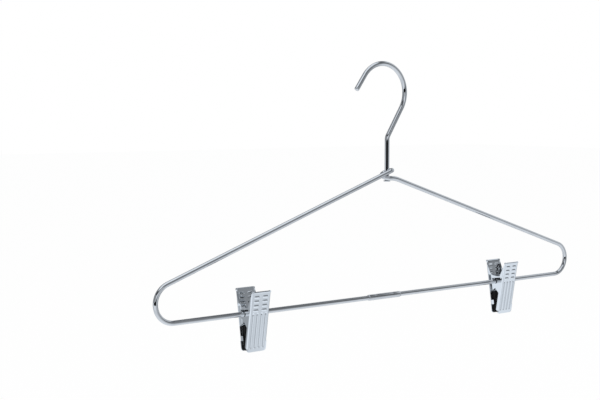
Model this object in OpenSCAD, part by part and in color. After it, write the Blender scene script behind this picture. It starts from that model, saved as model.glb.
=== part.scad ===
// Clip hanger: a bent wire body with a closing sleeve, a swivelling hook and two sprung
// trouser clips that slide and swing on the lower bar.
// Millimetres, +Z up. The origin is inside the hook's crown, where a rail bears.

/* [Body wire] */
// Overall width of the body, outside the wire
overall_w = 420; // [360:5:460]
// Diameter of the body wire
wire_d = 3.6; // [3:0.1:4]
// Radius of the left end bend, on the wire's centre line
left_bend_r = 14.15; // [12:0.05:18]
// Radius of the right end bend, on the wire's centre line
right_bend_r = 13.8; // [12:0.1:18]
// Height of the left shoulder above the bar, where its line meets the hook's stem
left_shoulder_h = 98.65; // [90:0.05:110]
// How much lower the right shoulder's line meets the stem
shoulder_step = 3.95; // [3.7:0.05:4.6]
// Gap between the hook's stem and the wire that winds round it
eye_clearance = 0.25; // [0.1:0.05:0.4]
// How far the wound eye drops in its single turn
eye_drop = 5.5; // [5.2:0.1:6]
// Length over which the right shoulder leaves the eye in a gentle curve
eye_root_l = 9; // [7:0.5:14]

/* [Closing sleeve] */
// Length of the sleeve over the joint of the wire
sleeve_l = 32.5; // [24:0.5:40]
// Outside diameter of the sleeve
sleeve_d = 4.6; // [4.4:0.1:6]
// How far the sleeve's middle lies to the left of the stem
sleeve_shift = 5.6; // [0:0.1:10]
// Gap between the two ends of the wire inside the sleeve
end_gap = 0.5; // [0.2:0.1:1]

/* [Hook] */
// Diameter of the hook's wire
hook_d = 3.8; // [3.2:0.1:4]
// Radius of the hook, on the wire's centre line
hook_r = 22.55; // [20:0.05:25]
// How far the hook's centre lies to the left of the stem
hook_shift = 4.7; // [2:0.1:6]
// Height at which the neck starts to lean, above the left shoulder's line at the stem
stem_rise = 26.75; // [18:0.05:60]
// Lean of the neck from upright, in degrees
neck_lean = 32; // [28:0.1:38]
// Radius of the bend between the stem and the neck
neck_bend_r = 7; // [5:0.5:10]
// Slope of the free end from upright, in degrees
tip_lean = 35.6; // [32:0.1:42]
// Length of the straight free end
tip_l = 14.2; // [10:0.1:20]
// Radius of the rivet head that keeps the stem in the eye
head_r = 2.75; // [2.6:0.05:3.2]
// Thickness of the rivet head
head_t = 0.9; // [0.7:0.1:1.5]

/* [Clips] */
// How far the left clip rests from the stem's line
left_clip_x = 128.9; // [60:0.1:150]
// How far the right clip rests from the stem's line
right_clip_x = 127.2; // [60:0.1:150]
// Width of a clip
clip_w = 16.4; // [15:0.2:20]
// Thickness of the clip's sheet steel
sheet_t = 0.8; // [0.6:0.1:1]
// Distance from the bar's centre to the outside of a plate
plate_reach = 8.25; // [7.8:0.05:9.5]
// Lean of a plate from upright, in degrees
plate_lean = 9.6; // [8:0.2:11]
// Length of a plate above the bar
lever_l = 19; // [17:0.5:24]
// Length of a plate below the bar
jaw_l = 26.8; // [25:0.1:32]
// Radius of the plate's lower corners
jaw_corner_r = 2; // [1:0.1:3]
// Radius of the plate's upper corners
lever_corner_r = 0.8; // [0.5:0.1:2]
// Radius of the rolled bead along the top of a lever
bead_r = 0.75; // [0.6:0.05:1]
// Running clearance of the bar in the ears' holes
bar_clearance = 0.05; // [0.02:0.01:0.1]
// Side gap between the nested ears
ear_gap = 0.15; // [0.1:0.05:0.3]
// Radius of an ear round the bar
ear_r = 4.8; // [4.2:0.1:5.4]
// Depth of the side flanges of a lever
lever_flange = 4.5; // [3:0.1:5]
// Depth of the side flange of a jaw
jaw_flange = 2.6; // [1.5:0.1:3]
// Depth of the tab that holds a pad
pad_tab = 4.9; // [4:0.1:5]

/* [Grip marks] */
// Length of a raised grip bar
grip_l = 3.9; // [3:0.1:5]
// Height of a raised grip bar, along the lever
grip_w = 1.1; // [0.8:0.1:1.4]
// How far a grip bar stands out of the lever
grip_t = 0.35; // [0.2:0.05:0.5]
// Distance between two rows of grip bars
grip_pitch = 3.45; // [3:0.05:3.8]
// Distance between the two columns of grip bars
grip_columns = 6.8; // [6:0.1:8]
// Distance of the first row below the top of the lever
grip_first = 3.9; // [3:0.1:5]
// Width of a pressed groove
groove_w = 0.9; // [0.6:0.1:1.2]
// Depth of a pressed groove
groove_t = 0.25; // [0.1:0.05:0.35]
// Distance between two grooves
groove_pitch = 3.55; // [3:0.05:3.8]
// Start of the grooves below the bar's centre
groove_start = 1.4; // [0.5:0.1:3]
// Length of a groove
groove_l = 23; // [18:0.5:23.5]
// Radius of the round dimple that starts a groove
dimple_r = 0.75; // [0.6:0.05:0.9]
// Depth of that dimple
dimple_t = 0.45; // [0.3:0.05:0.5]

/* [Pads] */
// Start of a pad below the bar's centre
pad_start = 7.2; // [6.6:0.1:8]
// End of the pads' narrow gap below the bar's centre
pad_meet = 15; // [13:0.5:18]
// Lower end of a pad below the bar's centre
pad_end = 25.9; // [24:0.1:26.5]
// Half the gap between the upper parts of the pads
pad_relief = 1; // [0.5:0.1:1.6]
// Gap left between the closed pads, on each side
pad_touch = 0.05; // [0.02:0.01:0.1]
// Side play of a pad between the flanges
pad_play = 0.1; // [0.05:0.05:0.2]
// Number of cross grooves in the gripping face of a pad
pad_grooves = 4; // [2:1:6]
// Depth of a cross groove in a pad
pad_groove_t = 0.5; // [0.3:0.1:0.8]

/* [Spring] */
// Diameter of the spring's wire
spring_d = 1.2; // [0.9:0.1:1.2]
// Gap between the spring's turns and the bar
spring_play = 0.4; // [0.3:0.05:0.5]
// Distance between two turns of the spring
spring_pitch = 1.66; // [1.64:0.01:1.9]
// Side gap between the coil and each end turn
spring_side_gap = 0.3; // [0.2:0.05:0.35]
// Angle of each end turn round the bar, in degrees
end_turn = 285; // [240:5:295]
// Height on the lever at which a spring leg ends
leg_top = 14.5; // [12:0.5:15]
// How far the end of a spring leg presses into its lever
leg_bite = 0.05; // [0.02:0.01:0.1]

/* [Hidden] */

// Width of a pad's cross groove, as a share of the distance between two grooves
pad_groove_width_share = 0.5;
// Lower corner of a lever's flange that is cut off, as a share of the flange's depth
flange_corner_share = 0.33;

// Smoothness of round faces
$fn = 48;
// Sides of a swept wire
sweep_sides = 16;
// Sides and rings of the spring's coil
coil_sides = 6;
coil_rings = 8;
// One overrun serves all cuts
overrun = 0.5;
// A bend's wire is this much thinner than a straight one, which enters it by the overlap
bend_thinning = 0.01;
wire_overlap = 0.05;

wire_r = wire_d / 2;
hook_wire_r = hook_d / 2;

// The eye winds round the stem, and the body lies in the plane of the eye's front
eye_r = hook_wire_r + eye_clearance + wire_r;
body_y = -eye_r;

right_shoulder_h = left_shoulder_h - shoulder_step;
eye_low_h = left_shoulder_h - eye_drop;

// Distance of an end bend's centre from the stem's line
function bend_x(bend_r) = overall_w / 2 - wire_r - bend_r;
// Slope in degrees of a shoulder whose line meets the stem at height h and touches its bend
function shoulder_slope(h, bend_r) =
    atan((h - bend_r) / bend_x(bend_r))
    - asin(bend_r / norm([bend_x(bend_r), h - bend_r]));

// Hook, seen from the front: the neck's lower corner, its length and the centre of the arc
hook_cx = -hook_shift;
neck_top_x = hook_cx + hook_r * cos(neck_lean);
neck_corner_z = left_shoulder_h + stem_rise;
neck_cut = neck_bend_r * tan(neck_lean / 2);
neck_l = neck_top_x / sin(neck_lean) - neck_cut;
hook_cz = neck_corner_z + neck_top_x / tan(neck_lean) + hook_r * sin(neck_lean);
// Height of the rail's seat above the bar
seat_h = hook_cz + hook_r - hook_wire_r;
echo(seat_height = seat_h);
head_gap = 0.15;
head_top_z = eye_low_h - wire_r - head_gap;

// Clip
bar_hole_r = wire_r + bar_clearance;
half_w = clip_w / 2;
sheet_in = plate_reach - sheet_t;
// Inner ear of one plate lies just inside the outer ear of the other
inner_ear_x = half_w - sheet_t - ear_gap;
lever_flange_end = lever_l - bead_r * 2;
jaw_flange_end = jaw_l - jaw_corner_r;
tab_top = pad_meet + sheet_t;
tab_l = 3.6;
// The jaw flange starts where the ear ends
ear_low = 8.6;
ear_top = 5.6;
// Relief slot between the lever's flange and the ear
slot_h = 0.8;
slot_z = 2.5;
slot_back = 1.8;

// Spring
spring_r = spring_d / 2;
spring_turn_r = wire_r + spring_play + spring_r;
coil_room = 2 * (inner_ear_x - sheet_t - ear_gap - spring_r - spring_d - spring_side_gap);
spring_turns = floor(coil_room / spring_pitch);
coil_l = spring_turns * spring_pitch;
end_turn_x = coil_l / 2 + spring_d + spring_side_gap;

// Puts a piece that is drawn from the bar's height and the stem's line into the part's frame
module in_frame() {
    translate([hook_shift, 0, -seat_h]) children();
}

// Bend of a wire in the XY plane, round the origin, from angle a0 through a sweep
module bend(r, wire, a0, sweep) {
    rotate([0, 0, a0])
        rotate_extrude(angle = sweep)
            translate([r, 0]) circle(r = wire - bend_thinning);
}

// Straight wire in the XY plane from a point, at an angle from +X, that enters the bends
module straight(p, angle, wire, l) {
    translate([p[0], p[1], 0])
        rotate([0, 90, angle])
            translate([0, 0, -wire_overlap])
                cylinder(r = wire, h = l + 2 * wire_overlap);
}

// Stands what is drawn in the XY plane up, to face the front
module upright() {
    rotate([90, 0, 0]) children();
}

// Swept tube along points, with rings square to the path and level with the ground
function unit(v) = v / norm(v);
function path_dir(p, i) = unit(p[min(i + 1, len(p) - 1)] - p[max(i - 1, 0)]);
function ring_at(p, dir, r, sides) =
    let (u = unit(cross([0, 0, 1], dir)), v = cross(dir, u))
    [for (k = [0 : sides - 1]) p + r * (cos(360 * k / sides) * u + sin(360 * k / sides) * v)];
function tube_faces(rings, sides) = concat(
    [[for (k = [0 : sides - 1]) k]],
    [for (i = [0 : rings - 2], k = [0 : sides - 1])
        [i * sides + k, (i + 1) * sides + (k + 1) % sides, i * sides + (k + 1) % sides]],
    [for (i = [0 : rings - 2], k = [0 : sides - 1])
        [i * sides + k, (i + 1) * sides + k, (i + 1) * sides + (k + 1) % sides]],
    [[for (k = [sides - 1 : -1 : 0]) (rings - 1) * sides + k]]
);
module tube_along(path, dirs, r, sides) {
    points = [for (i = [0 : len(path) - 1]) each ring_at(path[i], dirs[i], r, sides)];
    polyhedron(points, tube_faces(len(path), sides));
}

// Cubic between heights a and b with end slopes, for t from 0 to 1
function blend(t, a, slope_a, b, slope_b) =
    a * (2 * pow(t, 3) - 3 * pow(t, 2) + 1)
    + slope_a * (pow(t, 3) - 2 * pow(t, 2) + t)
    + b * (3 * pow(t, 2) - 2 * pow(t, 3))
    + slope_b * (pow(t, 3) - pow(t, 2));

// Eye: one turn round the stem, front to right to back to left, then the right shoulder's root
eye_rings = 28;
root_rings = 5;
left_slope = tan(shoulder_slope(left_shoulder_h, left_bend_r));
right_slope = tan(shoulder_slope(right_shoulder_h, right_bend_r));
eye_turn_l = 2 * PI * eye_r;
function eye_point(t) = [
    eye_r * sin(360 * t),
    -eye_r * cos(360 * t),
    blend(t, left_shoulder_h, left_slope * eye_turn_l, eye_low_h, 0)
];
function root_point(t) = [
    eye_root_l * t,
    body_y,
    blend(t, eye_low_h, 0, right_shoulder_h - right_slope * eye_root_l, -right_slope * eye_root_l)
];
eye_path = concat(
    [for (i = [0 : eye_rings]) eye_point(i / eye_rings)],
    [for (i = [1 : root_rings]) root_point(i / root_rings)]
);
eye_dirs = concat(
    [unit([1, 0, left_slope])],
    [for (i = [1 : len(eye_path) - 2]) path_dir(eye_path, i)],
    [unit([1, 0, -right_slope])]
);

// One side of the body, seen from the front: a shoulder, its end bend and its half of the bar
module body_side(h, bend_r, start_x, bar_end_x) {
    slope = shoulder_slope(h, bend_r);
    start = [start_x, h - start_x * tan(slope)];
    bend_top = [bend_x(bend_r) + bend_r * sin(slope), bend_r * (1 + cos(slope))];
    straight(start, -slope, wire_r, norm(bend_top - start));
    translate([bend_x(bend_r), bend_r]) bend(bend_r, wire_r, -90, 180 - slope);
    straight([bar_end_x, 0], 0, wire_r, bend_x(bend_r) - bar_end_x);
}

module body_wire() {
    right_end_x = -sleeve_shift + end_gap / 2;
    left_end_x = sleeve_shift + end_gap / 2;
    color("silver") in_frame() {
        translate([0, body_y, 0]) upright() {
            body_side(right_shoulder_h, right_bend_r, eye_root_l, right_end_x);
            mirror([1, 0, 0]) body_side(left_shoulder_h, left_bend_r, 0, left_end_x);
        }
        tube_along(eye_path, eye_dirs, wire_r - bend_thinning, sweep_sides);
    }
}

module bar_sleeve() {
    color("gainsboro") in_frame()
        translate([-sleeve_shift - sleeve_l / 2, body_y, 0])
            rotate([0, 90, 0])
                difference() {
                    cylinder(r = sleeve_d / 2, h = sleeve_l);
                    translate([0, 0, -overrun]) cylinder(r = wire_r, h = sleeve_l + 2 * overrun);
                }
}

module hook() {
    stem_l = neck_corner_z - neck_cut - head_top_z;
    arc_sweep = 180 + neck_lean - tip_lean;
    neck_start = [neck_cut * sin(neck_lean), neck_corner_z + neck_cut * cos(neck_lean)];
    tip_start = [hook_cx - hook_r * cos(tip_lean), hook_cz + hook_r * sin(tip_lean)];
    color("silver") in_frame() {
        translate([0, 0, head_top_z - head_t]) cylinder(r = head_r, h = head_t);
        upright() {
            straight([0, head_top_z], 90, hook_wire_r, stem_l);
            translate([neck_bend_r, neck_corner_z - neck_cut])
                bend(neck_bend_r, hook_wire_r, 180 - neck_lean, neck_lean);
            straight(neck_start, 90 - neck_lean, hook_wire_r, neck_l);
            translate([hook_cx, hook_cz]) bend(hook_r, hook_wire_r, -neck_lean, arc_sweep);
            straight(tip_start, -90 - tip_lean, hook_wire_r, tip_l);
        }
    }
}

// Puts a piece that is drawn round the bar's centre at a clip
module at_clip(x) {
    in_frame() translate([x, body_y, 0]) children();
}

// The back half of a clip is the front half turned round
module turned() {
    rotate([0, 0, 180]) children();
}

// Face of a plate, seen from the front, with its rounded corners
module plate_outline() {
    translate([-half_w, -jaw_l + jaw_corner_r])
        square([clip_w, jaw_l - jaw_corner_r + lever_l - lever_corner_r]);
    translate([-half_w + jaw_corner_r, -jaw_l])
        square([clip_w - 2 * jaw_corner_r, 2 * jaw_corner_r]);
    translate([-half_w + lever_corner_r, lever_l - 2 * lever_corner_r])
        square([clip_w - 2 * lever_corner_r, 2 * lever_corner_r]);
    for (side = [-1, 1]) {
        translate([side * (half_w - jaw_corner_r), -jaw_l + jaw_corner_r])
            circle(r = jaw_corner_r);
        translate([side * (half_w - lever_corner_r), lever_l - lever_corner_r])
            circle(r = lever_corner_r);
    }
}

// Draws a shape that is seen from the front on the outer face of a plate, from depth d inwards
module on_plate(d, t) {
    translate([0, -plate_reach + d + t, 0])
        rotate([90, 0, 0])
            linear_extrude(t) children();
}

module grip_bars() {
    for (column = [-1, 1], row = [0 : 3])
        translate([column * grip_columns / 2, lever_l - grip_first - row * grip_pitch]) {
            square([grip_l - grip_w, grip_w], center = true);
            for (end = [-1, 1])
                translate([end * (grip_l - grip_w) / 2, 0]) circle(d = grip_w);
        }
}

module groove_lines() {
    for (i = [-1.5 : 1.5])
        translate([i * groove_pitch - groove_w / 2, -groove_start - groove_l])
            square([groove_w, groove_l]);
}

module groove_dimples() {
    for (i = [-1.5 : 1.5])
        translate([i * groove_pitch, -groove_start]) circle(r = dimple_r);
}

// Side walls of a plate, seen from the side with +Y' to the right: flanges and ear
module wall_base(jaw_depth) {
    corner = lever_flange * flange_corner_share;
    polygon([
        [-sheet_in - sheet_t / 2, lever_flange_end],
        [-plate_reach + lever_flange - corner, lever_flange_end],
        [-plate_reach + lever_flange, lever_flange_end - corner],
        [-plate_reach + lever_flange, ear_top],
        [0, ear_r],
        [0, -ear_r],
        [-plate_reach + jaw_depth, -ear_low],
        [-sheet_in - sheet_t / 2, -ear_low]
    ]);
    circle(r = ear_r);
}

// The wall with the plain flange all the way down, and the relief slot above the bar
module outer_wall() {
    difference() {
        union() {
            wall_base(jaw_flange);
            translate([-sheet_in - sheet_t / 2, -jaw_flange_end])
                square([jaw_flange - sheet_t / 2, jaw_flange_end - ear_low + sheet_t]);
        }
        circle(r = bar_hole_r);
        translate([-sheet_in, slot_z]) square([sheet_in + slot_back, slot_h]);
    }
}

// The wall that ends in the tab that holds the pad
module inner_wall() {
    difference() {
        union() {
            wall_base(jaw_flange);
            translate([-sheet_in - sheet_t / 2, -tab_top])
                square([jaw_flange - sheet_t / 2, tab_top - ear_low + sheet_t]);
            translate([-sheet_in - sheet_t / 2, -tab_top - tab_l])
                square([pad_tab - sheet_t / 2, tab_l]);
        }
        circle(r = bar_hole_r);
    }
}

// Stands a side view up at x, one sheet thick towards +X
module wall_at(x) {
    translate([x, 0, 0])
        rotate([90, 0, 90])
            linear_extrude(sheet_t) children();
}

module plate() {
    color("lightsteelblue") rotate([plate_lean, 0, 0]) {
        difference() {
            on_plate(0, sheet_t) plate_outline();
            translate([0, -overrun, 0]) on_plate(0, groove_t + overrun) groove_lines();
            translate([0, -overrun, 0]) on_plate(0, dimple_t + overrun) groove_dimples();
        }
        on_plate(-grip_t, grip_t) grip_bars();
        translate([-half_w + lever_corner_r, -plate_reach, lever_l - bead_r])
            rotate([0, 90, 0])
                cylinder(r = bead_r, h = clip_w - 2 * lever_corner_r);
        wall_at(-half_w) outer_wall();
        wall_at(inner_ear_x - sheet_t) inner_wall();
    }
}

// Depth in the leaning plate's own view of a plane that is upright at distance c from the bar
function upright_at(c, s) = -c / cos(plate_lean) + s * tan(plate_lean);

// Gripping pad, seen from the side: it fills the space from the plate to the middle
pad_outer = -sheet_in;
groove_step = (pad_end - pad_meet) / (pad_grooves + 1);
groove_half = groove_step * pad_groove_width_share / 2;
pad_face = [
    for (i = [1 : pad_grooves], k = [-1 : 1])
        let (s = -pad_meet - i * groove_step - k * groove_half)
        [upright_at(pad_touch, s) - (1 - abs(k)) * pad_groove_t, s]
];
module pad_profile() {
    polygon(concat(
        [
            [pad_outer, -pad_start],
            [upright_at(pad_relief, -pad_start), -pad_start],
            [upright_at(pad_relief, -pad_meet + pad_relief), -pad_meet + pad_relief],
            [upright_at(pad_touch, -pad_meet), -pad_meet]
        ],
        pad_face,
        [
            [upright_at(pad_touch, -pad_end), -pad_end],
            [pad_outer, -pad_end]
        ]
    ));
}

module pad() {
    pad_left = -half_w + sheet_t + pad_play;
    pad_right = inner_ear_x - sheet_t - pad_play;
    color("#202022") rotate([plate_lean, 0, 0])
        translate([pad_left, 0, 0])
            rotate([90, 0, 90])
                linear_extrude(pad_right - pad_left) pad_profile();
}

// A spring leg, seen from the side in the leaning plate's view, touches its turn and its lever
leg_end = [-sheet_in - leg_bite + spring_r, leg_top];
leg_dist = norm(leg_end);
leg_touch_angle = atan2(leg_end[1], leg_end[0]) + acos(spring_turn_r / leg_dist);
leg_touch = spring_turn_r * [cos(leg_touch_angle), sin(leg_touch_angle)];
leg_len = norm(leg_end - leg_touch);
leg_angle = atan2(leg_end[1] - leg_touch[1], leg_end[0] - leg_touch[0]);

// An end turn of the spring with its leg, round the bar at x
module spring_leg(x) {
    color("#303034") rotate([plate_lean, 0, 0])
        translate([x, 0, 0])
            rotate([90, 0, 90]) {
                bend(spring_turn_r, spring_r, leg_touch_angle, end_turn);
                straight(leg_touch, leg_angle, spring_r, leg_len);
            }
}

// The spring's coil, one unbroken tube round the bar
coil_steps = coil_rings * spring_turns;
function coil_point(i) = [
    coil_l * (i / coil_steps - 1 / 2),
    spring_turn_r * cos(360 * i / coil_rings),
    spring_turn_r * sin(360 * i / coil_rings)
];
function coil_dir(i) = unit([
    coil_l / coil_steps,
    -spring_turn_r * 2 * PI / coil_rings * sin(360 * i / coil_rings),
    spring_turn_r * 2 * PI / coil_rings * cos(360 * i / coil_rings)
]);
function coil_ring(i) =
    let (p = coil_point(i), d = coil_dir(i), u = unit([0, p[1], p[2]]), v = cross(d, u))
    [for (k = [0 : coil_sides - 1])
        p + spring_r * (cos(360 * k / coil_sides) * u + sin(360 * k / coil_sides) * v)];
module spring_coil() {
    color("#303034")
        polyhedron(
            [for (i = [0 : coil_steps]) each coil_ring(i)],
            tube_faces(coil_steps + 1, coil_sides)
        );
}

// Least gap of the coil to itself, between points at least half a turn apart
coil_gap = min([
    for (i = [0 : coil_steps], j = [0 : coil_steps])
        if (abs(i - j) >= coil_rings / 2) norm(coil_point(i) - coil_point(j)) - spring_d
]);
echo(least_gap_in_coil = coil_gap);

// Least gap of the eye to itself and to the straight left shoulder
eye_gap = min([
    for (i = [eye_rings / 2 : len(eye_path) - 1], j = [0 : eye_rings])
        let (x = -j * 3 * eye_r / eye_rings)
        norm(eye_path[i] - [x, body_y, left_shoulder_h + x * left_slope]) - wire_d
]);
echo(least_gap_in_eye = eye_gap);

hook();
body_wire();
bar_sleeve();
at_clip(-left_clip_x) plate();  // left_front_plate
at_clip(-left_clip_x) turned() plate();  // left_back_plate
at_clip(-left_clip_x) pad();  // left_front_pad
at_clip(-left_clip_x) turned() pad();  // left_back_pad
at_clip(-left_clip_x) spring_coil();  // left_spring_coil
at_clip(-left_clip_x) spring_leg(-end_turn_x);  // left_spring_front_leg
at_clip(-left_clip_x) turned() spring_leg(-end_turn_x);  // left_spring_back_leg
at_clip(right_clip_x) plate();  // right_front_plate
at_clip(right_clip_x) turned() plate();  // right_back_plate
at_clip(right_clip_x) pad();  // right_front_pad
at_clip(right_clip_x) turned() pad();  // right_back_pad
at_clip(right_clip_x) spring_coil();  // right_spring_coil
at_clip(right_clip_x) spring_leg(-end_turn_x);  // right_spring_front_leg
at_clip(right_clip_x) turned() spring_leg(-end_turn_x);  // right_spring_back_leg
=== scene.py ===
"""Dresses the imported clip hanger: smooth chromed wires, pressed plates, ribbed rubber pads and springs."""
import math

import bmesh
import bpy
import numpy as np
from mathutils import Matrix, Vector


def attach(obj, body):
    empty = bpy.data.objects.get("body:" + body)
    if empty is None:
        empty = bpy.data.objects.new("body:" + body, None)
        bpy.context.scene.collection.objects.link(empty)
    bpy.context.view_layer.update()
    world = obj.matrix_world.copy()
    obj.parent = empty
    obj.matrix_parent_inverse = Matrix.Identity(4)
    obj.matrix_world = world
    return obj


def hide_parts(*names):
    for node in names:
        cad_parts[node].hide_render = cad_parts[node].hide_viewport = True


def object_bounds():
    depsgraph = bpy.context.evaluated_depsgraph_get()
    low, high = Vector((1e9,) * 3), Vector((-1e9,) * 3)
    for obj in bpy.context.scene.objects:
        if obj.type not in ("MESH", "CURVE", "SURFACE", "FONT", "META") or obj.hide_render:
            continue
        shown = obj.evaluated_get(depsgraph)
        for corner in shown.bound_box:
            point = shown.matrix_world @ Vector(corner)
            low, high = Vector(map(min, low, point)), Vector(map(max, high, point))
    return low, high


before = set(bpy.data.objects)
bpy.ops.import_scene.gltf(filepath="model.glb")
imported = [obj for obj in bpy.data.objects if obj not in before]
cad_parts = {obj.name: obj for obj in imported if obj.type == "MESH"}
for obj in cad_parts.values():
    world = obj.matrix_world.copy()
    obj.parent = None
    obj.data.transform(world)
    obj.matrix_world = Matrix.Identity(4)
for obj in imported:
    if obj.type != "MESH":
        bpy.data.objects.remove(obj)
CAD_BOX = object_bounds()
MM = 0.001

# Body wire, in millimetres from the stem's line and the bar's height, as in the model
WIRE_R = 1.8
OVERALL_W = 420
LEFT_BEND_R, RIGHT_BEND_R = 14.15, 13.8
LEFT_SHOULDER_H, RIGHT_SHOULDER_H = 98.65, 94.7
EYE_R = 3.95
EYE_DROP = 5.5
EYE_ROOT_L = 9
SLEEVE_L, SLEEVE_R, SLEEVE_SHIFT, END_GAP = 32.5, 2.3, 5.6, 0.5
BODY_Y = -EYE_R

# Hook
HOOK_WIRE_R = 1.9
HOOK_R = 22.55
HOOK_SHIFT = 4.7
STEM_RISE = 26.75
NECK_LEAN = math.radians(32)
NECK_BEND_R = 7
TIP_LEAN = math.radians(35.6)
TIP_L = 14.2
HEAD_R, HEAD_T, HEAD_GAP = 2.75, 0.9, 0.15

# Clips
CLIP_X = {"left": -128.9, "right": 127.2}
HALF_W = 8.2
SHEET_T = 0.8
PLATE_REACH = 8.25
PLATE_LEAN = math.radians(9.6)
LEVER_L = 19
JAW_L = 26.8
BEND_R = 1.1
EAR_GAP = 0.15
EAR_R = 4.8
BAR_HOLE_R = WIRE_R + 0.05
SPRING_R = 0.6
SPRING_TURN_R = 2.8

hook_cx = -HOOK_SHIFT
neck_top_x = hook_cx + HOOK_R * math.cos(NECK_LEAN)
neck_corner_z = LEFT_SHOULDER_H + STEM_RISE
hook_cz = neck_corner_z + neck_top_x / math.tan(NECK_LEAN) + HOOK_R * math.sin(NECK_LEAN)
SEAT_H = hook_cz + HOOK_R - HOOK_WIRE_R
ORIGIN = Vector((HOOK_SHIFT, 0, -SEAT_H))


def place(points):
    """Points drawn from the stem's line and the bar's height, in the frame's metres."""
    return [(Vector(p) + ORIGIN) * MM for p in points]


# Camera at the photograph's angle, fitted to the hanger's outline, in the same millimetres
CAMERA_AT = Vector((-540.4, -638.7, 143.9))
CAMERA_LOOK = Vector((0.57904, 0.81121, -0.08156))
CAMERA_LENS = 63.32
SENSOR = 36
CAMERA_NEAR, CAMERA_FAR = 0.01, 20


def make_camera():
    data = bpy.data.cameras.new("camera")
    data.lens, data.sensor_width = CAMERA_LENS, SENSOR
    data.clip_start, data.clip_end = CAMERA_NEAR, CAMERA_FAR
    camera = bpy.data.objects.new("camera", data)
    camera.location = (CAMERA_AT + ORIGIN) * MM
    camera.rotation_euler = CAMERA_LOOK.to_track_quat("-Z", "Y").to_euler()
    bpy.context.collection.objects.link(camera)
    bpy.context.scene.camera = camera


make_camera()


# Materials. Most of a noise lies between NOISE_LOW and NOISE_HIGH, which are spread over the whole range

NOISE_LOW, NOISE_HIGH = 0.3, 0.7
PLATED = {"Metallic": 1}
DULL = {"Specular IOR Level": 0.22}


def new_material(name):
    material = bpy.data.materials.new(name)
    material.use_nodes = True
    nodes, links = material.node_tree.nodes, material.node_tree.links
    return material, nodes, links, nodes["Principled BSDF"]


def node(nodes, kind, inputs=(), **settings):
    made = nodes.new(kind)
    for key, value in settings.items():
        setattr(made, key, value)
    for key, value in dict(inputs).items():
        made.inputs[key].default_value = value
    return made


def object_noise(nodes, links, scale, detail):
    """Noise in object coordinates, at so many waves per metre."""
    coords = node(nodes, "ShaderNodeTexCoord")
    noise = node(nodes, "ShaderNodeTexNoise", {"Scale": scale, "Detail": detail})
    links.new(coords.outputs["Object"], noise.inputs["Vector"])
    return noise.outputs["Fac"]


def spread(nodes, links, value, low, high):
    """Turns a noise value into a range of numbers."""
    ends = {"From Min": NOISE_LOW, "From Max": NOISE_HIGH, "To Min": low, "To Max": high}
    made = node(nodes, "ShaderNodeMapRange", ends)
    links.new(value, made.inputs["Value"])
    return made.outputs["Result"]


def tint(nodes, links, value, dark, light):
    """Turns a noise value into a colour between dark and light."""
    ramp = node(nodes, "ShaderNodeValToRGB")
    for end, position, colour in zip(ramp.color_ramp.elements, (NOISE_LOW, NOISE_HIGH), (dark, light)):
        end.position, end.color = position, (*colour, 1)
    links.new(value, ramp.inputs["Fac"])
    return ramp.outputs["Color"]


def bump(nodes, links, height, strength, distance):
    made = node(nodes, "ShaderNodeBump", {"Strength": strength, "Distance": distance})
    links.new(height, made.inputs["Height"])
    return made.outputs["Normal"]


def surface(name, uniform, dark, light, rough, grain, ripple, height, details=(4, 2), strength=0.4):
    """A faint change of tint and roughness at grain waves per metre, and a slight bump at ripple waves."""
    material, nodes, links, shader = new_material(name)
    for socket, value in uniform.items():
        shader.inputs[socket].default_value = value
    cloud = object_noise(nodes, links, grain, details[0])
    links.new(tint(nodes, links, cloud, dark, light), shader.inputs["Base Color"])
    links.new(spread(nodes, links, cloud, *rough), shader.inputs["Roughness"])
    wave = object_noise(nodes, links, ripple, details[1])
    links.new(bump(nodes, links, wave, strength, height), shader.inputs["Normal"])
    return material


WIRE_CHROME = surface("wire_chrome", PLATED, dark=(0.68, 0.69, 0.705), light=(0.74, 0.745, 0.755),
                      rough=(0.02, 0.05), grain=120, ripple=260, height=0.00001)
SLEEVE_STEEL = surface("sleeve_steel", PLATED, dark=(0.64, 0.65, 0.665), light=(0.7, 0.705, 0.715),
                       rough=(0.06, 0.12), grain=200, ripple=700, height=0.00003)
PLATE_STEEL = surface("plate_steel", PLATED, dark=(0.84, 0.87, 0.9), light=(0.9, 0.93, 0.96),
                      rough=(0.03, 0.07), grain=90, ripple=240, height=0.00001)
# The plates' inner side: the same plated steel as the outside, painted a little darker as shade for the
# clip's shaded interior
INSIDE_STEEL_PAINTED_SHADE = surface("plate_inside_painted_shade", PLATED, dark=(0.8, 0.82, 0.84), light=(0.87, 0.89, 0.91),
                      rough=(0.03, 0.07), grain=90, ripple=400, height=0.00002)
SPRING_STEEL = surface("spring_steel", PLATED, dark=(0.07, 0.07, 0.075), light=(0.14, 0.14, 0.15),
                       rough=(0.2, 0.4), grain=500, ripple=1500, height=0.00002)
PAD_RUBBER = surface("pad_rubber", DULL, dark=(0.003, 0.003, 0.0035), light=(0.009, 0.009, 0.01),
                     rough=(0.55, 0.8), grain=900, ripple=5000, height=0.00005, details=(6, 3), strength=0.3)


# Mesh helpers

ARC_STEP, HOOK_ARC_STEP = math.radians(3), math.radians(2)
WIRE_SIDES, SLEEVE_SIDES, SPRING_SIDES, HOLE_SIDES = 28, 32, 14, 40
SHARP_ANGLE = math.radians(40)


def add_piece(name, points, faces, material, body, replaced, at=None):
    """Makes a smooth mesh piece from points in millimetres, hangs it on its body and hides the parts it
    replaces.
    """
    mesh = bpy.data.meshes.new(name)
    if at is not None:
        points = [at @ Vector(p) for p in points]
    mesh.from_pydata(place(points), [], faces)
    mesh.validate()
    mesh.polygons.foreach_set("use_smooth", [True] * len(mesh.polygons))
    piece = bpy.data.objects.new(name, mesh)
    bpy.context.collection.objects.link(piece)
    mesh.materials.append(material)
    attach(piece, body)
    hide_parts(*replaced)
    return piece


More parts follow.
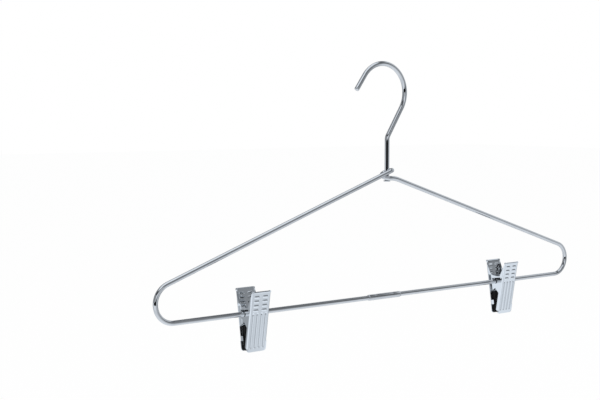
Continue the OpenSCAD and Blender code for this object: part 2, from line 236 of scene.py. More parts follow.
def finish_mesh(name, mesh, body, replaced):
    """Links a mesh in the frame's metres as a piece with smooth faces and sharp sheet edges."""
    mesh.name = name
    piece = bpy.data.objects.new(name, mesh)
    bpy.context.collection.objects.link(piece)
    mesh.polygons.foreach_set("use_smooth", [True] * len(mesh.polygons))
    mesh.set_sharp_from_angle(angle=SHARP_ANGLE)
    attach(piece, body)
    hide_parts(replaced)
    return piece


def apply_modifiers(piece):
    """Puts the mesh that the piece's modifiers make in the place of its own."""
    graph = bpy.context.evaluated_depsgraph_get()
    mesh = bpy.data.meshes.new_from_object(piece.evaluated_get(graph))
    piece.modifiers.clear()
    old, piece.data = piece.data, mesh
    bpy.data.meshes.remove(old)


def arc(centre, radius, start, sweep, step=ARC_STEP):
    """Points of an arc in the XZ plane, from angle start through sweep, without its first point."""
    count = max(2, math.ceil(abs(sweep) / step))
    angles = [start + sweep * i / count for i in range(1, count + 1)]
    return [Vector((centre[0] + radius * math.cos(a), 0, centre[1] + radius * math.sin(a))) for a in angles]


def line(start, end, count):
    """So many points along a straight stretch, without its first point."""
    a, b = Vector(start), Vector(end)
    return [a.lerp(b, i / count) for i in range(1, count + 1)]


def tube(path, radii, sides=WIRE_SIDES):
    """Points and faces of a round tube along a path, with a radius at each point and flat ends."""
    rings, faces = [], []
    tangent = (path[1] - path[0]).normalized()
    side = tangent.orthogonal().normalized()
    for i, point in enumerate(path):
        ahead = path[min(i + 1, len(path) - 1)] - path[max(i - 1, 0)]
        turned = ahead.normalized() if ahead.length > 0 else tangent
        side = (tangent.rotation_difference(turned) @ side).normalized()
        tangent = turned
        side = (side - tangent * side.dot(tangent)).normalized()
        up = tangent.cross(side)
        for k in range(sides):
            a = 2 * math.pi * k / sides
            rings.append(point + radii[i] * (math.cos(a) * side + math.sin(a) * up))
    for i in range(len(path) - 1):
        for k in range(sides):
            j = (k + 1) % sides
            faces.append((i * sides + k, i * sides + j, (i + 1) * sides + j, (i + 1) * sides + k))
    faces.append(tuple(range(sides - 1, -1, -1)))
    last = (len(path) - 1) * sides
    faces.append(tuple(last + k for k in range(sides)))
    return rings, faces


# Rounded edge of a wire's cut end: depth and radius of each ring, as shares of the wire's radius
END_ROUND_SHARES = ((0, 0.55), (0.06, 0.78), (0.16, 0.91), (0.32, 0.98), (0.5, 1))


def wire(path, radius, sides=WIRE_SIDES):
    """A tube with slightly rounded cut ends."""
    first = (path[1] - path[0]).normalized()
    last = (path[-1] - path[-2]).normalized()
    start, end = path[0], path[-1]
    head = [start + first * radius * depth for depth, _ in END_ROUND_SHARES]
    tail = [end - last * radius * depth for depth, _ in reversed(END_ROUND_SHARES)]
    inner = [p for p in path[1:-1] if (p - start).length > radius and (p - end).length > radius]
    shares = [share for _, share in END_ROUND_SHARES]
    radii = [radius * s for s in shares] + [radius] * len(inner) + [radius * s for s in reversed(shares)]
    return tube(head + inner + tail, radii, sides)


# Body wire

SHOULDER_ROWS, BAR_ROWS, EYE_ROWS, ROOT_ROWS = 30, 40, 72, 12


def bend_x(bend_r):
    """Distance of an end bend's centre from the stem's line."""
    return OVERALL_W / 2 - WIRE_R - bend_r


def shoulder_slope(height, bend_r):
    """Slope of the shoulder that touches its end bend, in radians."""
    rise, run = height - bend_r, bend_x(bend_r)
    return math.atan2(rise, run) - math.asin(bend_r / math.hypot(run, rise))


def cubic(t, a, slope_a, b, slope_b):
    """A smooth curve from a to b with the given slopes at its ends."""
    return (a * (2 * t**3 - 3 * t**2 + 1) + slope_a * (t**3 - 2 * t**2 + t)
            + b * (3 * t**2 - 2 * t**3) + slope_b * (t**3 - t**2))


def side_path(height, bend_r, start_x, bar_end_x):
    """One side of the body, seen from the front, from its shoulder's start round to the bar's end."""
    slope = shoulder_slope(height, bend_r)
    start = Vector((start_x, 0, height - start_x * math.tan(slope)))
    top = Vector((bend_x(bend_r) + bend_r * math.sin(slope), 0, bend_r * (1 + math.cos(slope))))
    path = [start] + line(start, top, SHOULDER_ROWS)
    path += arc((bend_x(bend_r), bend_r), bend_r, math.pi / 2 - slope, -(math.pi - slope))
    return path + line((bend_x(bend_r), 0, 0), (bar_end_x, 0, 0), BAR_ROWS)


def body_path():
    """The body wire from its left end in the sleeve, round the eye and back to its right end."""
    right = side_path(RIGHT_SHOULDER_H, RIGHT_BEND_R, EYE_ROOT_L, -SLEEVE_SHIFT + END_GAP / 2)
    left = side_path(LEFT_SHOULDER_H, LEFT_BEND_R, 0, SLEEVE_SHIFT + END_GAP / 2)
    left = [Vector((-p.x, 0, p.z)) for p in reversed(left)]
    shift = Vector((0, BODY_Y, 0))
    left_slope = math.tan(shoulder_slope(LEFT_SHOULDER_H, LEFT_BEND_R))
    right_slope = math.tan(shoulder_slope(RIGHT_SHOULDER_H, RIGHT_BEND_R))
    eye_low = LEFT_SHOULDER_H - EYE_DROP
    turn_l = 2 * math.pi * EYE_R
    eye = []
    for i in range(1, EYE_ROWS + 1):
        t = i / EYE_ROWS
        height = cubic(t, LEFT_SHOULDER_H, left_slope * turn_l, eye_low, 0)
        angle = 2 * math.pi * t
        eye.append(Vector((EYE_R * math.sin(angle), -EYE_R * math.cos(angle), height)))
    root_end = RIGHT_SHOULDER_H - right_slope * EYE_ROOT_L
    root = []
    for i in range(1, ROOT_ROWS):
        t = i / ROOT_ROWS
        height = cubic(t, eye_low, 0, root_end, -right_slope * EYE_ROOT_L)
        root.append(Vector((EYE_ROOT_L * t, BODY_Y, height)))
    return [p + shift for p in left] + eye + root + [p + shift for p in right]


def make_body_wire():
    points, faces = wire(body_path(), WIRE_R)
    return add_piece("chromed_body_wire", points, faces, WIRE_CHROME, "frame", ["body_wire"])


# Sleeve: a short tube with rounded mouths and two shallow crimps, as shares of its length and radius

SLEEVE_PROFILE_SHARES = ((0, 0.86), (0.012, 0.96), (0.03, 1), (0.2, 1), (0.235, 0.975), (0.27, 1), (0.5, 1))


def make_sleeve():
    half = SLEEVE_L / 2
    middle = Vector((-SLEEVE_SHIFT, BODY_Y, 0))
    shares = list(SLEEVE_PROFILE_SHARES)
    shares += [(1 - along, share) for along, share in reversed(SLEEVE_PROFILE_SHARES[:-1])]
    path = [middle + Vector((-half + SLEEVE_L * along, 0, 0)) for along, _ in shares]
    points, faces = tube(path, [SLEEVE_R * share for _, share in shares], SLEEVE_SIDES)
    return add_piece("closing_sleeve", points, faces, SLEEVE_STEEL, "frame", ["bar_sleeve"])


# Hook, and its rivet head as shares of the head's thickness and radius

STEM_ROWS, NECK_ROWS, TIP_ROWS = 20, 20, 10
HEAD_PROFILE_SHARES = ((0, 0.82), (0.12, 0.97), (0.5, 1), (0.85, 0.93), (1, 0.7))


def hook_path():
    """The hook's wire from its foot, up the stem and the neck and round to its tip."""
    cut = NECK_BEND_R * math.tan(NECK_LEAN / 2)
    head_top = LEFT_SHOULDER_H - EYE_DROP - WIRE_R - HEAD_GAP
    bend_z = neck_corner_z - cut
    path = [Vector((0, 0, head_top))] + line((0, 0, head_top), (0, 0, bend_z), STEM_ROWS)
    path += arc((NECK_BEND_R, bend_z), NECK_BEND_R, math.pi, -NECK_LEAN)
    neck_top = (neck_top_x, 0, hook_cz - HOOK_R * math.sin(NECK_LEAN))
    path += line(path[-1], neck_top, NECK_ROWS)
    path += arc((hook_cx, hook_cz), HOOK_R, -NECK_LEAN, math.pi + NECK_LEAN - TIP_LEAN, HOOK_ARC_STEP)
    tip = path[-1] + TIP_L * Vector((-math.sin(TIP_LEAN), 0, -math.cos(TIP_LEAN)))
    return path + line(path[-1], tip, TIP_ROWS)


def make_hook():
    path = hook_path()
    points, faces = wire(path, HOOK_WIRE_R)
    head = [path[0] + Vector((0, 0, -HEAD_T * along)) for along, _ in HEAD_PROFILE_SHARES]
    more, more_faces = tube(head, [HEAD_R * share for _, share in HEAD_PROFILE_SHARES])
    faces += [tuple(len(points) + i for i in face) for face in more_faces]
    return add_piece("chromed_hook", points + more, faces, WIRE_CHROME, "hook", ["hook"])


# Plates: a sheet of points over the outer face, bent over into two flanges with ears

def smooth_step(value, low, high):
    """Rises smoothly from nought at low to one at high."""
    t = min(1, max(0, (value - low) / (high - low)))
    return t * t * (3 - 2 * t)


# Depths of the side walls, from the face
LEVER_FLANGE, FLANGE_TIP, FLANGE_CURVE = 4.2, 0.7, 1.15
JAW_FLANGE, INNER_JAW_FLANGE, PAD_TAB, NO_FLANGE = 2.6, 1.2, 4.1, 0.04
# Distances along the plate from the bar at which the side walls change
FLANGE_TOP = 17.5
EAR_TOP, EAR_LOW = 5.6, 8.6
TAB_TOP, TAB_END = 15.8, 19.4
JAW_RUNOUT = 1
JAW_CORNER = 2.0
LEVER_CORNER = 0.8


def ear_depth(s, jaw):
    """Depth of a side wall at height s on the plate, round the bar's ear and down to its jaw's depth."""
    if abs(s) <= EAR_R:
        return PLATE_REACH + math.sqrt(EAR_R**2 - s**2)
    if s > 0:
        share = (s - EAR_R) / (EAR_TOP - EAR_R)
        return PLATE_REACH + (LEVER_FLANGE - PLATE_REACH) * min(1, share)
    share = (-s - EAR_R) / (EAR_LOW - EAR_R)
    return PLATE_REACH + (jaw - PLATE_REACH) * min(1, share)


def flange_depth(s, inner):
    """Depth of the outer or the inner side wall at height s."""
    jaw_end = JAW_L - JAW_CORNER
    if s >= FLANGE_TOP:
        return NO_FLANGE
    if s > EAR_TOP:
        left = (FLANGE_TOP - s) / (FLANGE_TOP - EAR_TOP)
        return FLANGE_TIP + (LEVER_FLANGE - FLANGE_TIP) * left**FLANGE_CURVE
    if s > -EAR_LOW:
        return ear_depth(s, INNER_JAW_FLANGE if inner else JAW_FLANGE)
    if inner:
        if s > -TAB_TOP:
            return INNER_JAW_FLANGE
        return PAD_TAB if s > -TAB_END else NO_FLANGE
    if s > -jaw_end + JAW_RUNOUT:
        return JAW_FLANGE
    return max(NO_FLANGE, JAW_FLANGE * (s + jaw_end) / JAW_RUNOUT) if s > -jaw_end else NO_FLANGE


def half_width(s):
    """Half the face's width at height s, with its rounded corners."""
    low = -JAW_L + JAW_CORNER - s
    if low > 0:
        return HALF_W - JAW_CORNER + math.sqrt(max(0, JAW_CORNER**2 - low**2))
    high = s - LEVER_L + LEVER_CORNER
    if high > 0:
        return HALF_W - LEVER_CORNER + math.sqrt(max(0, LEVER_CORNER**2 - high**2))
    return HALF_W


# Raised grip bars on the levers, in rows and two columns. A fade is from and to where a form falls off,
# as shares of the way from its middle to its rim.
GRIP_L, GRIP_W, GRIP_T = 4.7, 1.7, 0.42
GRIP_ROWS, GRIP_PITCH, GRIP_COLUMNS, GRIP_FIRST = 4, 3.35, 7.2, 4.2
GRIP_FADE = (0.15, 1.2)
# Pressed grooves down the jaws, from just above the bar, each with a dimple at its start
GROOVES = (-1.5, -0.5, 0.5, 1.5)
GROOVE_PITCH, GROOVE_W, GROOVE_T = 3.55, 1.7, 0.36
GROOVE_START, GROOVE_L, GROOVE_RUNOUT = -1.6, 26, 1.5
DIMPLE_W, DIMPLE_L, DIMPLE_T = 1.8, 3, 0.8
DIMPLE_FADE = (0.1, 1)
# Rolled top edge, which stands out by a share of its radius
BEAD_R, BEAD_SHARE = 0.75, 0.8
# Distances from the face's edge over which its pressed forms fade in
EDGE_FADE = (0.2, 1.2)


def face_height(x, s):
    """How far the outer face stands out at a point: grip bars, grooves, dimples and the rolled top."""
    height = 0
    for column in (-1, 1):
        for row in range(GRIP_ROWS):
            dx = abs(x - column * GRIP_COLUMNS / 2) - (GRIP_L - GRIP_W) / 2
            ds = s - (LEVER_L - GRIP_FIRST - row * GRIP_PITCH)
            away = math.hypot(max(dx, 0), ds) / (GRIP_W / 2)
            height = max(height, GRIP_T * (1 - smooth_step(away, *GRIP_FADE)))
    for i in GROOVES:
        across = abs(x - i * GROOVE_PITCH) / (GROOVE_W / 2)
        end = -GROOVE_START - GROOVE_L
        along = smooth_step(s, end, end + GROOVE_RUNOUT)
        if s < -GROOVE_START:
            height -= GROOVE_T * along * max(0, 1 - across)
        away = math.hypot((x - i * GROOVE_PITCH) / (DIMPLE_W / 2), (s + GROOVE_START) / (DIMPLE_L / 2))
        if away < 1:
            height = min(height, -DIMPLE_T * (1 - smooth_step(away, *DIMPLE_FADE)))
    bead = abs(s - (LEVER_L - BEAD_R)) / BEAD_R
    return height + (BEAD_R * math.sqrt(1 - bead**2) if bead < 1 else 0) * BEAD_SHARE


# Strips of the plate's length with the step between its rows of points, and a pair of rows at each step
# of the outline, which no other row comes near
ROW_STRIPS = (
    (-JAW_L, -GROOVE_START - 1.2, 0.45),
    (-GROOVE_START - 1.2, 3.2, 0.25),
    (3.2, 16.9, 0.22),
    (16.9, LEVER_L - 0.05, 0.15),
)
CORNER_ANGLES = range(15, 90, 15)
STEP_HALF, STEP_CLEAR = 0.03, 0.1


def plate_rows():
    """Distances along the plate at which a row of points is drawn."""
    rows = [row for low, high, step in ROW_STRIPS for row in np.arange(low, high, step)] + [LEVER_L]
    rows += [-JAW_L + JAW_CORNER * (1 - math.cos(math.radians(a))) for a in CORNER_ANGLES]
    steps = (-TAB_TOP, -TAB_END, FLANGE_TOP)
    rows = [r for r in rows if all(abs(r - step) > STEP_CLEAR for step in steps)]
    for step in steps:
        rows += [step - STEP_HALF, step + STEP_HALF]
    return sorted(rows)


FACE_COLUMNS, BEND_COLUMNS, FLANGE_COLUMNS, JOGGLE_COLUMNS = 82, 5, 8, 10
# The inner wall steps in at the ears, to pass inside the other plate's outer wall: how far, at which
# depths, and how the step fades along the plate from its middle
JOGGLE = SHEET_T + EAR_GAP
JOGGLE_FROM, JOGGLE_TO = 1.1, 3.4
JOGGLE_MIDDLE, JOGGLE_FADE = -1, (7, 9)


def wall_depths(depth, radius):
    """Depths across a side wall from its free edge to its bend, closer together over the joggle."""
    low = min(depth, JOGGLE_TO)
    depths = [depth + (low - depth) * i / FLANGE_COLUMNS for i in range(FLANGE_COLUMNS)]
    return depths + [low + (radius - low) * i / JOGGLE_COLUMNS for i in range(JOGGLE_COLUMNS)]


def side_points(s, sign, inner):
    """Points across one side wall at height s, from its free edge to the face, and where the face starts."""
    depth = flange_depth(s, inner)
    radius = min(BEND_R, depth)
    edge = half_width(s)
    points = []
    for d in wall_depths(depth, radius):
        inset = 0
        if inner:
            share = min(1, max(0, (d - JOGGLE_FROM) / (JOGGLE_TO - JOGGLE_FROM)))
            inset = JOGGLE * share * (1 - smooth_step(abs(s - JOGGLE_MIDDLE), *JOGGLE_FADE))
        points.append((sign * (edge - inset), -PLATE_REACH + d, s))
    for i in range(BEND_COLUMNS):
        a = math.pi / 2 * i / BEND_COLUMNS
        roundness = radius / BEND_R
        across = roundness * (1 - math.cos(a)) + (1 - roundness) * i / BEND_COLUMNS
        points.append((sign * (edge - BEND_R * across), -PLATE_REACH + radius * (1 - math.sin(a)), s))
    return points, edge - BEND_R


def plate_grid():
    """Rows of points over the outer side of a plate, in its own leaning view."""
    grid = []
    for s in plate_rows():
        left, left_x = side_points(s, -1, False)
        right, right_x = side_points(s, 1, True)
        face = []
        for i in range(FACE_COLUMNS + 1):
            x = -left_x + (left_x + right_x) * i / FACE_COLUMNS
            fade = smooth_step(HALF_W - abs(x), *EDGE_FADE)
            face.append((x, -PLATE_REACH - face_height(x, s) * fade, s))
        grid.append(left + face + list(reversed(right)))
    return grid


def grid_faces(grid):
    width = len(grid[0])
    return [(i * width + k, i * width + k + 1, (i + 1) * width + k + 1, (i + 1) * width + k)
            for i in range(len(grid) - 1) for k in range(width - 1)]


def cutter(name, points, faces):
    """A mesh in metres from points in millimetres, to be cut out of a plate."""
    mesh = bpy.data.meshes.new(name)
    mesh.from_pydata([tuple(Vector(p) * MM) for p in points], [], faces)
    made = bpy.data.objects.new(name, mesh)
    bpy.context.collection.objects.link(made)
    return made


BOX_FACES = [(0, 1, 3, 2), (4, 6, 7, 5), (0, 4, 5, 1), (2, 3, 7, 6), (0, 2, 6, 4), (1, 5, 7, 3)]
SLOT_FRONT, SLOT_BACK, SLOT_LOW, SLOT_TOP = -6.6, 3, 1.75, 3.1
# How far the bar's holes are stretched to the front, and how far the cutters reach past a wall's two faces
HOLE_STRETCH = 0.6
THROUGH, CUT_PAST, OUTER_SPARE, INNER_SPARE = 2, 1, 0.1, 0.3
MERGE_DIST = 0.008


def box_points(xs, ys, zs):
    return [Vector((x, y, z)) for x in xs for y in ys for z in zs]


def plate_master():
    """One pressed plate as a mesh in its own leaning view, with the bar's holes and the relief slot."""
    grid = plate_grid()
    points = [tuple(Vector(p) * MM) for row in grid for p in row]
    mesh = bpy.data.meshes.new("plate_sheet")
    mesh.from_pydata(points, [], grid_faces(grid))
    for material in (PLATE_STEEL, INSIDE_STEEL_PAINTED_SHADE):
        mesh.materials.append(material)
    sheet = bmesh.new()
    sheet.from_mesh(mesh)
    bmesh.ops.remove_doubles(sheet, verts=sheet.verts, dist=MERGE_DIST * MM)
    bmesh.ops.recalc_face_normals(sheet, faces=sheet.faces)
    sheet.to_mesh(mesh)
    sheet.free()
    plate = bpy.data.objects.new("plate_sheet", mesh)
    bpy.context.collection.objects.link(plate)
    outward = sum((p.normal * p.area for p in mesh.polygons), Vector())
    solid = plate.modifiers.new("thickness", "SOLIDIFY")
    solid.thickness = SHEET_T * MM
    solid.offset = -1 if outward.y < 0 else 1
    solid.use_even_offset = False
    # The sheet's inner side takes the second material, the darker copy of the steel that paints shade inside
    # the clip
    solid.material_offset, solid.material_offset_rim = 1, 0
    apply_modifiers(plate)
    path = [Vector((-HALF_W - THROUGH, 0, 0)), Vector((HALF_W + THROUGH, 0, 0))]
    holes = [cutter("bar_hole", *tube(path, [BAR_HOLE_R] * 2, HOLE_SIDES))]
    # The slot and the stretched hole are cut in the outer wall, at the left in the plate's own view, and in
    # the inner wall, at the left once the plate is turned round. The slot lies square to the back plate, so
    # it is turned twice the lean in the front plate's own view.
    half_turn = Matrix.Rotation(math.pi, 4, "Z")
    lean, twice = (Matrix.Rotation(-turns * PLATE_LEAN, 4, "X") for turns in (1, 2))
    outer_reach = HALF_W - SHEET_T - OUTER_SPARE
    inner_reach = HALF_W - 2 * SHEET_T - EAR_GAP - INNER_SPARE
    walls = (("outer", twice, lean, outer_reach), ("inner", half_turn, lean @ half_turn, inner_reach))
    for name, slot_turn, hole_turn, reach in walls:
        ends = (-HALF_W - CUT_PAST, -reach)
        slot = box_points(ends, (SLOT_FRONT, SLOT_BACK), (SLOT_LOW, SLOT_TOP))
        holes.append(cutter(f"{name}_slot", [slot_turn @ p for p in slot], BOX_FACES))
        path = [hole_turn @ Vector((x, -HOLE_STRETCH, 0)) for x in ends]
        holes.append(cutter(f"{name}_hole", *tube(path, [BAR_HOLE_R] * 2, HOLE_SIDES)))
    for hole in holes:
        cut = plate.modifiers.new(hole.name, "BOOLEAN")
        cut.operation, cut.solver, cut.object = "DIFFERENCE", "EXACT", hole
        apply_modifiers(plate)
    for hole in holes:
        bpy.data.objects.remove(hole)
    mesh = plate.data
    bpy.data.objects.remove(plate)
    return mesh


def clip_matrix(side, back):
    """From a plate's own leaning view to the frame, in metres."""
    turn = Matrix.Rotation(math.pi if back else 0, 4, "Z")
    bar = (Vector((CLIP_X[side], BODY_Y, 0)) + ORIGIN) * MM
    return Matrix.Translation(bar) @ turn @ Matrix.Rotation(PLATE_LEAN, 4, "X")


def make_plates():
    master = plate_master()
    for side in CLIP_X:
        for half in ("front", "back"):
            mesh = master.copy()
            mesh.transform(clip_matrix(side, half == "back"))
            clip = f"{side}_{half}"
            finish_mesh(f"{clip}_pressed_plate", mesh, f"{clip}_jaw", f"{clip}_plate")
    bpy.data.meshes.remove(master)


# Pads: a ribbed side view drawn along the clip's width, with rounded edges. A rib's profile is its
# distance from the rib's middle, in ribs, and its depth, as a share of PAD_RIB_T

PAD_START, PAD_MEET, PAD_END = 8.6, 15, 25.9
PAD_RELIEF, PAD_TOUCH, PAD_PLAY = 1.0, 0.05, 0.1
PAD_RIBS, PAD_RIB_T = 6, 0.45
PAD_RIB_PROFILE = ((-0.3, 0), (-0.15, 1), (0.15, 1), (0.3, 0))
PAD_ROUND, PAD_ROUND_STEPS, PAD_ROUND_ANGLE = 0.18, 3, math.radians(35)


def upright_at(c, s):
    """Depth in the plate's leaning view of an upright plane at distance c from the bar."""
    return -c / math.cos(PLATE_LEAN) + s * math.tan(PLATE_LEAN)


def pad_profile():
    """The pad's side view, as points of depth and distance along the plate."""
    outer = -PLATE_REACH + SHEET_T
    points = [(outer, -PAD_START), (upright_at(PAD_RELIEF, -PAD_START), -PAD_START)]
    points += [(upright_at(PAD_RELIEF, -PAD_MEET + PAD_RELIEF), -PAD_MEET + PAD_RELIEF)]
    points += [(upright_at(PAD_TOUCH, -PAD_MEET), -PAD_MEET)]
    step = (PAD_END - PAD_MEET) / (PAD_RIBS + 0.5)
    for i in range(1, PAD_RIBS + 1):
        for k, share in PAD_RIB_PROFILE:
            s = -PAD_MEET - (i + k) * step
            points.append((upright_at(PAD_TOUCH, s) - share * PAD_RIB_T, s))
    points += [(upright_at(PAD_TOUCH, -PAD_END), -PAD_END), (outer, -PAD_END)]
    return points


def make_pads():
    x0 = -HALF_W + SHEET_T + PAD_PLAY
    x1 = HALF_W - 2 * SHEET_T - EAR_GAP - PAD_PLAY
    profile = pad_profile()
    count = len(profile)
    for side in CLIP_X:
        for half in ("front", "back"):
            form = bmesh.new()
            ends = [[form.verts.new(Vector((x, y, s)) * MM) for y, s in profile] for x in (x0, x1)]
            form.faces.new(ends[0])
            form.faces.new(list(reversed(ends[1])))
            for i in range(count):
                j = (i + 1) % count
                form.faces.new((ends[0][i], ends[1][i], ends[1][j], ends[0][j]))
            bmesh.ops.recalc_face_normals(form, faces=form.faces)
            mesh = bpy.data.meshes.new("pad")
            form.to_mesh(mesh)
            form.free()
            mesh.transform(clip_matrix(side, half == "back"))
            mesh.materials.append(PAD_RUBBER)
            clip = f"{side}_{half}"
            piece = finish_mesh(f"{clip}_ribbed_pad", mesh, f"{clip}_jaw", f"{clip}_pad")
            rounding = piece.modifiers.new("rounding", "BEVEL")
            rounding.width, rounding.segments = PAD_ROUND * MM, PAD_ROUND_STEPS
            rounding.limit_method, rounding.angle_limit = "ANGLE", PAD_ROUND_ANGLE
            apply_modifiers(piece)


# Springs

COIL_TURNS, COIL_PITCH = 5, 1.66
COIL_HALF = COIL_TURNS * COIL_PITCH / 2
TURN_STEPS, END_TURN_STEPS, LEG_ROWS = 32, 60, 16
END_TURN, END_TURN_GAP = math.radians(285), 0.3
END_TURN_X = COIL_HALF + 2 * SPRING_R + END_TURN_GAP
LEG_TOP, LEG_BITE = 14.5, 0.05


def bar_point(x, angle):
    """A point on the spring's turns round the bar."""
    return Vector((x, SPRING_TURN_R * math.cos(angle), SPRING_TURN_R * math.sin(angle)))


def leg_path():
    """A spring's end turn and leg in the plate's leaning view, from the leg's end to the coil."""
    end = Vector((0, -PLATE_REACH + SHEET_T - LEG_BITE + SPRING_R, LEG_TOP))
    reach = math.hypot(end.y, end.z)
    touch = math.atan2(end.z, end.y) + math.acos(SPRING_TURN_R / reach)
    start = Vector((-END_TURN_X, end.y, end.z))
    path = [start] + line(start, bar_point(-END_TURN_X, touch), LEG_ROWS)
    turn = [touch + END_TURN * i / END_TURN_STEPS for i in range(1, END_TURN_STEPS + 1)]
    return path + [bar_point(-END_TURN_X, angle) for angle in turn]


def make_springs():
    leg = leg_path()
    turned = Matrix.Rotation(PLATE_LEAN, 4, "X")
    steps = COIL_TURNS * TURN_STEPS
    coil = [bar_point(-COIL_HALF + 2 * COIL_HALF * i / steps, 2 * math.pi * COIL_TURNS * i / steps)
            for i in range(steps + 1)]
    for side, x in CLIP_X.items():
        at = Matrix.Translation((x, BODY_Y, 0))
        points, faces = wire(coil, SPRING_R, SPRING_SIDES)
        add_piece(f"{side}_wound_coil", points, faces, SPRING_STEEL, f"{side}_coil",
                  [f"{side}_spring_coil"], at)
        for name in ("front", "back"):
            turn = Matrix.Rotation(0 if name == "front" else math.pi, 4, "Z")
            points, faces = wire(leg, SPRING_R, SPRING_SIDES)
            add_piece(f"{side}_{name}_leg_wire", points, faces, SPRING_STEEL, f"{side}_{name}_jaw",
                      [f"{side}_spring_{name}_leg"], at @ turn @ turned)


make_body_wire()
make_sleeve()
make_hook()
make_plates()
make_pads()
make_springs()


# Floor, backdrop and light

FLOOR_DROP, FLOOR_SIZE = 0.09, 12
FLOOR_COLOUR, FLOOR_ROUGHNESS = (0.82, 0.83, 0.84, 1), 0.9
FLOOR_WHITE_SHARE = 0.97


def make_floor():
    """A pale floor that the camera sees nearly white, and reflections don't see."""
    low = CAD_BOX[0].z - FLOOR_DROP
    bpy.ops.mesh.primitive_plane_add(size=FLOOR_SIZE, location=(0, 0, low))
    floor = bpy.context.object
    floor.name = "floor"
    material, nodes, links, shader = new_material("pale_floor")
    shader.inputs["Base Color"].default_value = FLOOR_COLOUR
    shader.inputs["Roughness"].default_value = FLOOR_ROUGHNESS
    path = node(nodes, "ShaderNodeLightPath")
    white = node(nodes, "ShaderNodeEmission", {"Strength": 1})
    mix = node(nodes, "ShaderNodeMixShader")
    share = node(nodes, "ShaderNodeMath", {1: FLOOR_WHITE_SHARE}, operation="MULTIPLY")
    links.new(path.outputs["Is Camera Ray"], share.inputs[0])
    links.new(share.outputs[0], mix.inputs["Fac"])
    links.new(shader.outputs["BSDF"], mix.inputs[1])
    links.new(white.outputs["Emission"], mix.inputs[2])
    links.new(mix.outputs["Shader"], nodes["Material Output"].inputs["Surface"])
    floor.data.materials.append(material)
    floor.visible_glossy = False


# What reflections show round the hanger, as soft-edged cards on a plain room: azimuth from the front
# towards the right and elevation, each from and to in degrees, softness in degrees, and linear grey
CARDS = (
    ((-400, 400), (54, 100), 6, 1.0),
    ((-180, -108), (28, 61), 5, 0.36),
    ((-80, -24), (43, 56), 4, 1.0),
    ((-114, -50), (29, 45), 4, 0.03),
    ((-36, 20), (23, 39), 5, 0.16),
    ((-66, 12), (2, 9), 4, 0.55),
    ((-50, 10), (9, 21), 4, 0.9),
    ((52, 135), (46, 62), 6, 0.12),
    ((54, 135), (-6, 46), 8, 0.62),
    ((24, 54), (-5, 42), 7, 0.27),
    ((38, 53), (7, 40), 6, 0.14),
    ((-180, -141), (-15, 12), 5, 0.36),
    ((-139, -104), (-16, -2), 4, 0.85),
    ((-100, -12), (-28, -12), 4, 0.9),
    ((-2, 37), (-34, -10), 10, 0.58),
    ((39, 57), (-34, -12), 6, 0.8),
    ((59, 150), (-34, -8), 7, 0.4),
    ((-93, 6), (-11, -0.7), 0.8, 0),
)
# The plain room above the horizon, and what lies below it: elevation and grey
ROOM_GREY = 0.3
FLOOR_GREYS = ((-80, 0.95), (-45, 0.84), (-22, 0.72), (-12, 0.62), (-4, 0.36))
COOL = (0.93, 0.99, 1.06)
WORLD_DIFFUSE = 0.75


def cool(grey):
    return tuple(grey * c for c in COOL) + (1,)


def window(nodes, links, value, low, high, soft):
    """One between low and high, falling softly to nought outside them."""
    rise = node(nodes, "ShaderNodeMapRange", {"From Min": low - soft / 2, "From Max": low + soft / 2},
                interpolation_type="SMOOTHSTEP")
    fall = node(nodes, "ShaderNodeMapRange", {"From Min": high + soft / 2, "From Max": high - soft / 2},
                interpolation_type="SMOOTHSTEP")
    both = node(nodes, "ShaderNodeMath", operation="MULTIPLY")
    for edge, socket in ((rise, 0), (fall, 1)):
        links.new(value, edge.inputs["Value"])
        links.new(edge.outputs["Result"], both.inputs[socket])
    return both.outputs[0]


def in_degrees(nodes, links, radians):
    made = node(nodes, "ShaderNodeMath", operation="DEGREES")
    links.new(radians, made.inputs[0])
    return made.outputs[0]


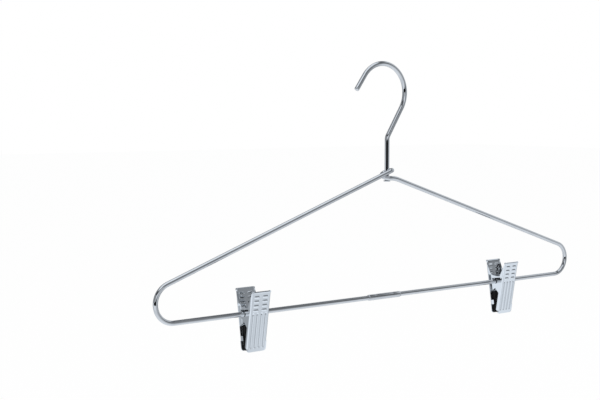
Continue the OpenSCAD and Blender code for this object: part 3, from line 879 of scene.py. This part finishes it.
def make_world():
    """The camera sees white, reflections see the cards, and the rest of the light is plain white."""
    world = bpy.data.worlds.new("studio")
    bpy.context.scene.world = world
    world.use_nodes = True
    nodes, links = world.node_tree.nodes, world.node_tree.links
    nodes.clear()
    coords = node(nodes, "ShaderNodeTexCoord")
    parts = node(nodes, "ShaderNodeSeparateXYZ")
    links.new(coords.outputs["Generated"], parts.inputs[0])
    front = node(nodes, "ShaderNodeMath", {1: -1}, operation="MULTIPLY")
    links.new(parts.outputs["Y"], front.inputs[0])
    turn = node(nodes, "ShaderNodeMath", operation="ARCTAN2")
    links.new(parts.outputs["X"], turn.inputs[0])
    links.new(front.outputs[0], turn.inputs[1])
    rise = node(nodes, "ShaderNodeMath", operation="ARCSINE")
    links.new(parts.outputs["Z"], rise.inputs[0])
    azimuth = in_degrees(nodes, links, turn.outputs[0])
    elevation = in_degrees(nodes, links, rise.outputs[0])

    colour = node(nodes, "ShaderNodeRGB").outputs[0]
    colour.default_value = cool(FLOOR_GREYS[0][1])
    steps = list(FLOOR_GREYS[1:]) + [(0, ROOM_GREY)]
    for (low, _), (high, grey) in zip(FLOOR_GREYS, steps):
        share = node(nodes, "ShaderNodeMapRange", {"From Min": low, "From Max": high})
        links.new(elevation, share.inputs["Value"])
        colour = card_over(nodes, links, colour, share.outputs["Result"], grey)
    for (left, right), (low, high), soft, grey in CARDS:
        across = window(nodes, links, azimuth, left, right, soft)
        up = window(nodes, links, elevation, low, high, soft)
        share = node(nodes, "ShaderNodeMath", operation="MULTIPLY")
        links.new(across, share.inputs[0])
        links.new(up, share.inputs[1])
        colour = card_over(nodes, links, colour, share.outputs[0], grey)

    path = node(nodes, "ShaderNodeLightPath")
    glossy = node(nodes, "ShaderNodeBackground", {"Strength": 1})
    plain = node(nodes, "ShaderNodeBackground", {"Color": (1, 1, 1, 1), "Strength": WORLD_DIFFUSE})
    white = node(nodes, "ShaderNodeBackground", {"Color": (1, 1, 1, 1), "Strength": 1})
    links.new(colour, glossy.inputs["Color"])
    first, second = node(nodes, "ShaderNodeMixShader"), node(nodes, "ShaderNodeMixShader")
    out = node(nodes, "ShaderNodeOutputWorld")
    links.new(path.outputs["Is Glossy Ray"], first.inputs["Fac"])
    links.new(plain.outputs[0], first.inputs[1])
    links.new(glossy.outputs[0], first.inputs[2])
    links.new(path.outputs["Is Camera Ray"], second.inputs["Fac"])
    links.new(first.outputs[0], second.inputs[1])
    links.new(white.outputs[0], second.inputs[2])
    links.new(second.outputs[0], out.inputs["Surface"])


def card_over(nodes, links, under, share, grey):
    """Lays a grey card over a colour by a share from nought to one."""
    mix = node(nodes, "ShaderNodeMixRGB", {"Color2": cool(grey)})
    links.new(share, mix.inputs["Fac"])
    links.new(under, mix.inputs["Color1"])
    return mix.outputs["Color"]


# Soft lamps: place, size and power
LAMPS = {"key": ((-0.9, -0.7, 1.1), 0.5, 9), "fill": ((1.0, -0.9, 0.6), 0.9, 5)}
LAMP_TARGET = Vector((0, 0, -0.12))


def area_lamp(name, at, size, power):
    """A soft lamp that reflections don't see."""
    data = bpy.data.lights.new(name, "AREA")
    data.shape, data.size, data.energy = "DISK", size, power
    lamp = bpy.data.objects.new(name, data)
    lamp.location = at
    lamp.rotation_euler = (LAMP_TARGET - Vector(at)).to_track_quat("-Z", "Y").to_euler()
    lamp.visible_glossy = False
    bpy.context.collection.objects.link(lamp)


make_floor()
make_world()
for name, lamp in LAMPS.items():
    area_lamp(name, *lamp)
bpy.context.scene.view_settings.view_transform = "Standard"
